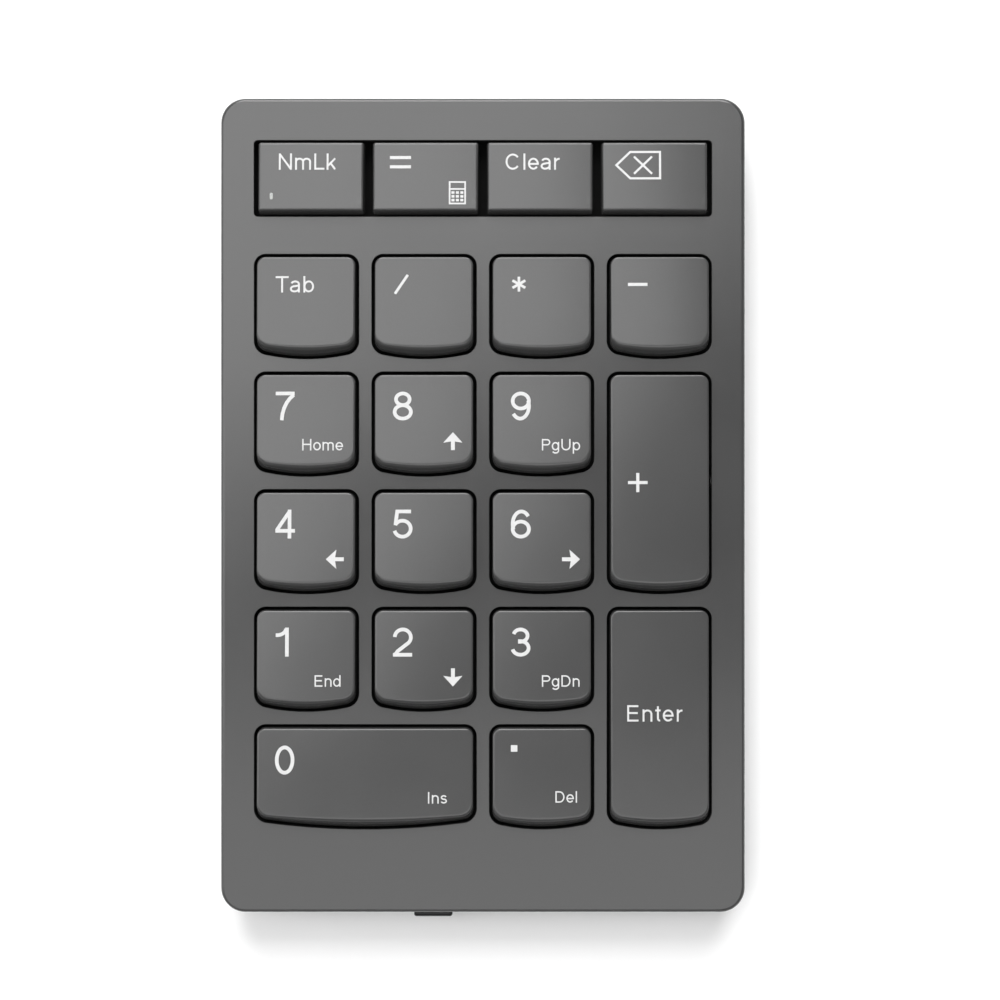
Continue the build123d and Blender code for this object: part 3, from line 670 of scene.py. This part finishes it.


# Rubber domes -----------------------------------------------------------------------------
# The mat is drawn as a sheet and 21 separate domes, which stay on the case.

MAT_THICKNESS = 0.4
MAT_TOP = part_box("rubber_dome_mat")[0].z / MM + MAT_THICKNESS
DOME_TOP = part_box("rubber_dome_mat")[1].z / MM
DOME_RADIUS = 3.0
DOME_WALL = 0.35
DOME_TOP_RADIUS = 1.5
DOME_ROUNDING = 0.1
DOME_SHOULDER = DOME_TOP - DOME_WALL
DOME_ROOF_UNDER = DOME_TOP - 0.55
DOME_REACH = DOME_RADIUS + 1.0  # everything of a dome is nearer than this to its key's middle
NUB_RADIUS = 0.6
NUB_TIP = MAT_TOP + 0.5
WELD = 0.001  # vertices nearer than this are joined
MARGIN = 0.01


def mat_part(name, bm):
    """Makes a piece that stays on the case and stands for some of the rubber mat."""
    piece = new_object(name, bm, "silicone")
    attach(piece, "case")
    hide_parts("rubber_dome_mat")
    return piece


def make_dome(cap):
    """The rubber dome under a key, with the nub that closes the switch."""
    profile = (
        (DOME_TOP_RADIUS - DOME_ROUNDING, DOME_TOP),
        (DOME_TOP_RADIUS, DOME_TOP - DOME_ROUNDING),
        (DOME_TOP_RADIUS, DOME_SHOULDER),
        (DOME_RADIUS, MAT_TOP),
        (DOME_RADIUS - DOME_WALL, MAT_TOP),
        (DOME_TOP_RADIUS - DOME_WALL, DOME_ROOF_UNDER),
        (NUB_RADIUS, DOME_ROOF_UNDER),
        (NUB_RADIUS, NUB_TIP),
    )
    bm = bmesh.new()
    rings = [[bm.verts.new(place) for place in circle(cap, r, z)] for r, z in profile]
    for near, far in zip(rings, rings[1:]):
        bridge(bm, near, far)
    bm.faces.new(rings[0])
    bm.faces.new(rings[-1])
    piece = mat_part("dome_" + cap.name, bm)
    foot = cap.point(0, 0, MAT_TOP)
    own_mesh(piece)


def make_dome_sheet(caps):
    """The flat part of the mat: a copy of the CAD mat whose domes are cut off at its top."""
    bm = bmesh.new()
    bm.from_mesh(frame["nodes"]["rubber_dome_mat"].data)
    bmesh.ops.remove_doubles(bm, verts=bm.verts, dist=WELD * MM)
    above = [v for v in bm.verts if v.co.z > (MAT_TOP + MARGIN) * MM]
    bmesh.ops.delete(bm, geom=above, context="VERTS")
    rims = [e for e in bm.edges if e.is_boundary]
    for v in {v for e in rims for v in e.verts}:
        v.co.z = MAT_TOP * MM
    for cap in caps:
        middle = cap.point(0, 0, MAT_TOP)
        near = [e for e in rims if (e.verts[0].co - middle).length < DOME_REACH * MM]
        bmesh.ops.bridge_loops(bm, edges=near)
    mat_part("dome_sheet", bm)


# Legends ----------------------------------------------------------------------------------
# A glyph is drawn with strokes of one width, on a scale where a capital is 1 high.
# It is (advance, strokes). A stroke is a list of points and arcs, and an arc is
# (centre x, centre y, radius x, radius y, first angle, last angle).

STROKE = 0.125
H = STROKE / 2
X_LINE = 0.74 - H
CAP_LINE = 1.0 - H
ROUND = X_LINE - 0.37

GLYPHS = {
    "0": (0.78, [[(0.34, 0.5, 0.275, 0.4375, 0, 360)]]),
    "1": (0.78, [[(0.42, 0), (0.42, 1)], [(0.03, 0.74), (0.09, 0.985, 0.30, 0.245, -90, -8)]]),
    "2": (
        0.78,
        [
            [(0.345, 0.665, 0.28, 0.2725, 178, -42), (0.16, 0.18), (0.075, 0.05)],
            [(0.005, H), (0.67, H)],
        ],
    ),
    "3": (
        0.78,
        [
            [(0.335, 0.725, 0.245, 0.2125, 165, -90), (0.25, 0.5125)],
            [(0.25, 0.5325), (0.335, 0.2975, 0.28, 0.235, 90, -168)],
        ],
    ),
    "4": (0.78, [[(0.51, 0), (0.51, 1)], [(0.505, 0.93), (0.07, 0.29)], [(0.02, 0.265), (0.7, 0.265)]]),
    "5": (
        0.78,
        [
            [(0.63, CAP_LINE), (0.15, CAP_LINE), (0.09, 0.46)],
            [(0.335, 0.34, 0.285, 0.2775, 152, -165)],
        ],
    ),
    "6": (
        0.78,
        [
            [(0.345, 0.325, 0.2825, 0.2625, 0, 360)],
            [(0.365, 0.5, 0.3025, 0.4375, 38, 205)],
        ],
    ),
    "7": (0.78, [[(0.03, CAP_LINE), (0.685, CAP_LINE)], [(1.0, -0.05, 0.76, 1.05, 117, 177)]]),
    "8": (0.78, [[(0.345, 0.735, 0.235, 0.2025, 0, 360)], [(0.345, 0.295, 0.2825, 0.2325, 0, 360)]]),
    "9": (
        0.78,
        [
            [(0.345, 0.675, 0.2825, 0.2625, 0, 360)],
            [(0.325, 0.5, 0.3025, 0.4375, 218, 385)],
        ],
    ),
    "C": (1.0, [[(0.45, 0.5, 0.3825, 0.4375, 38, 322)]]),
    "D": (
        1.0,
        [[(0.1 + H, H), (0.1 + H, CAP_LINE), (0.46, 0.5, 0.3825, 0.4375, 90, -90), (0.1 + H, H)]],
    ),
    "E": (
        0.9,
        [
            [(0.78, CAP_LINE), (0.1 + H, CAP_LINE), (0.1 + H, H), (0.79, H)],
            [(0.1 + H, 0.52), (0.74, 0.52)],
        ],
    ),
    "H": (1.0, [[(0.16, 0), (0.16, 1)], [(0.84, 0), (0.84, 1)], [(0.16, 0.53), (0.84, 0.53)]]),
    "I": (0.38, [[(0.19, 0), (0.19, 1)]]),
    "L": (0.76, [[(0.16, 1), (0.16, H), (0.72, H)]]),
    "N": (1.0, [[(0.16, 0), (0.16, 1)], [(0.84, 0), (0.84, 1)], [(0.17, 0.95), (0.83, 0.05)]]),
    "P": (
        0.92,
        [
            [(0.16, 0), (0.16, 1)],
            [(0.16, CAP_LINE), (0.54, 0.715, 0.24, 0.2225, 90, -90), (0.16, 0.4925)],
        ],
    ),
    "T": (0.85, [[(0.03, CAP_LINE), (0.82, CAP_LINE)], [(0.425, 0), (0.425, 1)]]),
    "U": (1.0, [[(0.16, 1), (0.5, 0.38, 0.34, 0.3175, 180, 360), (0.84, 1)]]),
    "a": (
        0.78,
        [
            [(0.6, 0), (0.37, 0.5, 0.23, 0.1775, 0, 160)],
            [(0.6, 0.43), (0.32, 0.22, 0.21, 0.1575, 95, 270), (0.32, 0.26, 0.28, 0.1975, 270, 345)],
        ],
    ),
    "b": (0.78, [[(0.15, 0), (0.15, 1)], [(0.42, 0.37, 0.26, ROUND, 0, 360)]]),
    "d": (0.78, [[(0.63, 0), (0.63, 1)], [(0.36, 0.37, 0.26, ROUND, 0, 360)]]),
    "e": (0.78, [[(0.39, 0.37, 0.27, ROUND, 0, 322)], [(0.14, 0.36), (0.718, 0.36)]]),
    "g": (
        0.78,
        [
            [(0.36, 0.37, 0.26, ROUND, 0, 360)],
            [(0.63, 0.74), (0.37, -0.02, 0.26, 0.1975, 0, -155)],
        ],
    ),
    "k": (0.7, [[(0.15, 0), (0.15, 1)], [(0.17, 0.24), (0.61, 0.7)], [(0.33, 0.41), (0.61, 0.03)]]),
    "l": (0.31, [[(0.155, 0), (0.155, 1)]]),
    "m": (
        1.16,
        [
            [(0.15, 0), (0.15, 0.74)],
            [(0.58, 0), (0.365, 0.5, 0.215, 0.1775, 0, 180)],
            [(1.01, 0), (0.795, 0.5, 0.215, 0.1775, 0, 180)],
        ],
    ),
    "n": (0.78, [[(0.15, 0), (0.15, 0.74)], [(0.63, 0), (0.39, 0.46, 0.24, 0.2175, 0, 180)]]),
    "o": (0.78, [[(0.39, 0.37, 0.275, ROUND, 0, 360)]]),
    "p": (0.78, [[(0.15, -0.28), (0.15, 0.74)], [(0.42, 0.37, 0.26, ROUND, 0, 360)]]),
    "r": (0.47, [[(0.15, 0), (0.15, 0.74)], [(0.44, 0.43, 0.29, 0.2475, 180, 92)]]),
    "s": (0.7, [[(0.35, 0.5275, 0.2, 0.15, 18, 270), (0.35, 0.22, 0.22, 0.1575, 90, -162)]]),
    "t": (
        0.39,
        [[(0.2, 0.93), (0.325, 0.19, 0.125, 0.1275, 180, 275)], [(0.04, X_LINE), (0.36, X_LINE)]],
    ),
}


ARC_STEP = 12  # degrees
TOUCHING = 1e-4
SHARPEST_MITRE = 0.4


def trace(stroke):
    """The points along a stroke."""
    points = []
    for item in stroke:
        if len(item) == 2:
            points.append(Vector(item))
            continue
        cx, cy, rx, ry, start, stop = item
        count = max(4, round(abs(stop - start) / ARC_STEP))
        for a in sweep_angles(start, stop, count):
            points.append(Vector((cx + rx * math.cos(a), cy + ry * math.sin(a))))
    kept = points[:1]
    for p in points[1:]:
        if (p - kept[-1]).length > TOUCHING:
            kept.append(p)
    return kept


def ribbon(points, half):
    """Quads of a ribbon along points, mitred where it turns and joined if it is closed."""
    closed = (points[0] - points[-1]).length < TOUCHING
    if closed:
        points = points[:-1]
    count = len(points)
    left, right = [], []
    for i, p in enumerate(points):
        ways = []
        if closed or i > 0:
            ways.append((p - points[i - 1]).normalized())
        if closed or i < count - 1:
            ways.append((points[(i + 1) % count] - p).normalized())
        sides = [Vector((-w.y, w.x)) for w in ways]
        side = sum(sides, Vector((0, 0))).normalized()
        reach = half / max(side.dot(sides[0]), SHARPEST_MITRE)
        left.append(p + side * reach)
        right.append(p - side * reach)
    quads = []
    for i in range(count if closed else count - 1):
        j = (i + 1) % count
        quads.append([right[i], right[j], left[j], left[i]])
    return quads


def placed(quads, x, y, scale=1.0):
    offset = Vector((x, y))
    return [[p * scale + offset for p in quad] for quad in quads]


# Heights and places of the legends, in millimetres from the middle of a key.
DIGIT_LEFT = -5.0
DIGIT_BASE = 0.55
DIGIT_HEIGHT = 4.65
WORD_HEIGHT = 2.65
SMALL_WORD_HEIGHT = 1.85
WORD_WEIGHT = 0.9
SIGN = 0.5  # the thickness of a plus, minus or equals sign
THIN_SIGN = 0.42


def text(string, left, base, height, spacing=0.0, weight=WORD_WEIGHT):
    """The quads of a word that starts at left and stands on base, its strokes thinned by weight."""
    quads = []
    for c in string:
        advance, strokes = GLYPHS[c]
        for stroke in strokes:
            quads += placed(ribbon(trace(stroke), H * weight), left, base, height)
        left += advance * height + spacing
    return quads


def digit(character):
    return text(character, DIGIT_LEFT, DIGIT_BASE, DIGIT_HEIGHT, weight=1.0)


def word(string, left, base, spacing=0.0):
    return text(string, left, base, WORD_HEIGHT, spacing)


def small_word(string, right, base=-4.3):
    width = sum(GLYPHS[c][0] for c in string) * SMALL_WORD_HEIGHT
    return text(string, right - width, base, SMALL_WORD_HEIGHT)


def bar(x0, y0, x1, y1, thickness):
    return ribbon([Vector((x0, y0)), Vector((x1, y1))], thickness / 2)


def arrow(direction, x=4.7, y=-2.8):
    """A bold arrow: a broad head and a short tail. direction is in degrees from up."""
    head = [(-1.55, -0.25), (0, 0), (1.55, -0.25), (0, 1.45)]
    tail = [(-0.31, -1.45), (0.31, -1.45), (0.31, 0.4), (-0.31, 0.4)]
    turn = Matrix.Rotation(math.radians(direction), 2)
    return placed([[turn @ Vector(p) for p in quad] for quad in (head, tail)], x, y)


def asterisk(x, y, radius):
    quads = []
    for angle in (30, 90, 150):
        dx, dy = radius * math.cos(math.radians(angle)), radius * math.sin(math.radians(angle))
        quads += bar(x - dx, y - dy, x + dx, y + dy, THIN_SIGN)
    return quads


def dash(left, right, y):
    return bar(left, y, right, y, SIGN)


def loop(corners, thickness):
    """A closed line through corners."""
    return ribbon([Vector(c) for c in corners + corners[:1]], thickness / 2)


def calculator(x, y):
    """A small pocket calculator: a frame, a display and three rows of buttons."""
    half_w, half_h, line = 1.25, 1.75, 0.26
    corners = [(-half_w, -half_h), (half_w, -half_h), (half_w, half_h), (-half_w, half_h)]
    quads = loop(corners, line)
    quads += bar(-half_w, 0.62, half_w, 0.62, line)
    for row in range(3):
        for column in range(3):
            bx, by = (column - 1) * 0.72, -1.2 + row * 0.62
            quads += bar(bx - 0.24, by, bx + 0.24, by, 0.4)
    return placed(quads, x, y)


def backspace():
    """A five-sided tag pointing left, with a cross in it."""
    line = 0.34
    corners = [(-6.2, 1.95), (-3.95, 4.1), (0.85, 4.1), (0.85, -0.2), (-3.95, -0.2)]
    quads = loop(corners, line)
    quads += bar(-3.35, 0.55, -0.45, 3.35, line)
    return quads + bar(-3.35, 3.35, -0.45, 0.55, line)


legends = {
    "num_lock": word("NmLk", -5.45, 1.2),
    "equals": dash(-5.75, -2.35, 3.19) + dash(-5.75, -2.35, 1.68) + calculator(5.15, -2.55),
    "clear": word("Clear", -5.6, 1.2),
    "backspace": backspace(),
    "tab": word("Tab", -4.95, 2.15),
    "divide": bar(-4.65, 1.95, -2.6, 5.0, THIN_SIGN),
    "multiply": asterisk(-3.7, 3.5, 1.2),
    "minus": dash(-5.15, -2.0, 3.46),
    "7": digit("7") + small_word("Home", 6.15),
    "8": digit("8") + arrow(0),
    "9": digit("9") + small_word("PgUp", 6.25),
    "plus": dash(-5.15, -2.0, 0.05) + bar(-3.575, -1.5, -3.575, 1.6, SIGN),
    "4": digit("4") + arrow(90),
    "5": digit("5"),
    "6": digit("6") + arrow(-90),
    "1": digit("1") + small_word("End", 5.8),
    "2": digit("2") + arrow(180),
    "3": digit("3") + small_word("PgDn", 6.25),
    "enter": word("Enter", -5.55, -0.42, 0.12),
    "0": placed(digit("0"), -PITCH / 2, 0) + small_word("Ins", 13.4, -4.1),
    "decimal": bar(-5.0, 4.75, -3.95, 4.75, 1.05) + small_word("Del", 5.85, -3.95),
}
INK_RISE = 0.015  # of the ink's face over the key's top
INK_SINK = 0.02  # of its back into the key


def joined(quads):
    """A flat mesh of the area that overlapping quads cover together."""
    points = [p for quad in quads for p in quad]
    indices = [list(range(4 * i, 4 * i + 4)) for i in range(len(quads))]
    result = delaunay_2d_cdt(points, [], indices, 0, TOUCHING)
    flat = bmesh.new()
    corners = [flat.verts.new((p.x, p.y, 0)) for p in result[0]]
    for face, sources in zip(result[2], result[5]):
        if sources:
            flat.faces.new([corners[i] for i in face])
    loose = [v for v in flat.verts if not v.link_faces]
    bmesh.ops.delete(flat, geom=loose, context="VERTS")
    bmesh.ops.dissolve_limit(flat, angle_limit=0.01, verts=flat.verts, edges=flat.edges)
    return flat


def make_legend(cap):
    """One key's legends as a thin layer of ink that follows the crown of the key."""
    flat = joined(legends[cap.name])
    bm = bmesh.new()
    layers = {}
    for v in flat.verts:
        x, y = v.co.x, v.co.y
        z = cap.top(x, y)
        low = bm.verts.new(cap.point(x, y, z - INK_SINK))
        high = bm.verts.new(cap.point(x, y, z + INK_RISE))
        layers[v] = (low, high)
    for face in flat.faces:
        bm.faces.new([layers[v][1] for v in face.verts])
        bm.faces.new([layers[v][0] for v in reversed(face.verts)])
    for edge in flat.edges:
        if len(edge.link_faces) == 1:
            a, b = edge.verts
            bm.faces.new((layers[a][0], layers[b][0], layers[b][1], layers[a][1]))
    flat.free()
    piece = new_object("legend_" + cap.name, bm, "legend_white")
    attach(piece, "key_" + cap.name)


caps = [Cap(key_name) for key_name in legends]
for key_cap in caps:
    make_keycap(key_cap)
    make_legend(key_cap)
    make_dome(key_cap)
make_dome_sheet(caps)


# Stage, light and camera ------------------------------------------------------------------
# The floor and the lights are in metres.

FLOOR_HALF = 2.2
LIGHT_DISTANCE = 2.7
WALL_LIGHT = 1.0
ROOM_LIGHT = 0.06
WALL_FADE = (0.12, 0.3)  # the sines of the elevations between which the walls fade


def make_floor():
    bm = bmesh.new()
    bmesh.ops.create_grid(bm, x_segments=1, y_segments=1, size=FLOOR_HALF)
    mesh = bpy.data.meshes.new("floor")
    bm.to_mesh(mesh)
    bm.free()
    floor = bpy.data.objects.new("floor", mesh)
    bpy.context.scene.collection.objects.link(floor)
    look = Look("floor", (0.9, 0.9, 0.9), 0.8)
    look.set("Specular IOR Level", 0.1)
    mesh.materials.append(look.material)


def soft_light(name, azimuth, elevation, roll, width, height, radiance):
    """A rectangular softbox that faces the middle. azimuth turns it from the rear to the left."""
    azimuth, elevation = math.radians(azimuth), math.radians(elevation)
    level = math.cos(elevation)
    away = Vector((-math.sin(azimuth) * level, math.cos(azimuth) * level, math.sin(elevation)))
    side = Vector((-math.cos(azimuth), -math.sin(azimuth), 0.0))
    facing = Matrix((side, away.cross(side), away)).transposed()
    data = bpy.data.lights.new(name, "AREA")
    data.shape = "RECTANGLE"
    data.size, data.size_y = width, height
    data.energy = radiance * math.pi * width * height
    lamp = bpy.data.objects.new(name, data)
    turn = Matrix.Rotation(math.radians(roll), 4, "Z")
    lamp.matrix_world = Matrix.Translation(away * LIGHT_DISTANCE) @ facing.to_4x4() @ turn
    bpy.context.scene.collection.objects.link(lamp)


def make_world():
    """A studio with pale walls up to about 15 degrees over the horizon, and dim above them."""
    world = bpy.data.worlds.new("studio")
    bpy.context.scene.world = world
    world.use_nodes = True
    tree = world.node_tree
    direction = tree.nodes.new("ShaderNodeTexCoord").outputs["Generated"]
    height = tree.nodes.new("ShaderNodeSeparateXYZ")
    walls = tree.nodes.new("ShaderNodeMapRange")
    walls.interpolation_type = "SMOOTHSTEP"
    walls.inputs["From Min"].default_value, walls.inputs["From Max"].default_value = WALL_FADE
    walls.inputs["To Min"].default_value = WALL_LIGHT
    walls.inputs["To Max"].default_value = ROOM_LIGHT
    tree.links.new(direction, height.inputs[0])
    tree.links.new(height.outputs["Z"], walls.inputs["Value"])
    tree.links.new(walls.outputs["Result"], tree.nodes["Background"].inputs["Strength"])
    tree.nodes["Background"].inputs["Color"].default_value = (1, 1, 1, 1)


def make_lights():
    # name, azimuth, elevation, roll, width, height, radiance
    soft_light("rear_left", 53, 71, -27, 2.15, 1.25, 3.95)
    soft_light("front", 179, 71, 0, 2.4, 1.25, 2.25)
    soft_light("left", 90, 40, 0, 1.6, 1.2, 2.6)
    soft_light("rear", 0, 45, 0, 1.7, 1.7, 8.8)


CAMERA_HEIGHT = 330.0  # over the middle of the deck
CAMERA_X = 2.77  # to the right of the middle
CAMERA_Y = 0.86  # behind the middle
VIEW_WIDTH = 162.0  # of what the camera sees at the deck


def make_camera():
    low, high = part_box("top_cover")
    data = bpy.data.cameras.new("camera")
    data.sensor_width = 36.0
    data.lens = data.sensor_width * CAMERA_HEIGHT / VIEW_WIDTH
    data.clip_start = 0.01
    camera = bpy.data.objects.new("camera", data)
    centre = (low + high) / 2
    above = Vector((CAMERA_X, CAMERA_Y, CAMERA_HEIGHT)) * MM
    camera.location = Vector((centre.x, centre.y, high.z)) + above
    bpy.context.scene.collection.objects.link(camera)
    bpy.context.scene.camera = camera


make_floor()
make_world()
make_lights()
make_camera()
bpy.context.scene.view_settings.view_transform = "Standard"
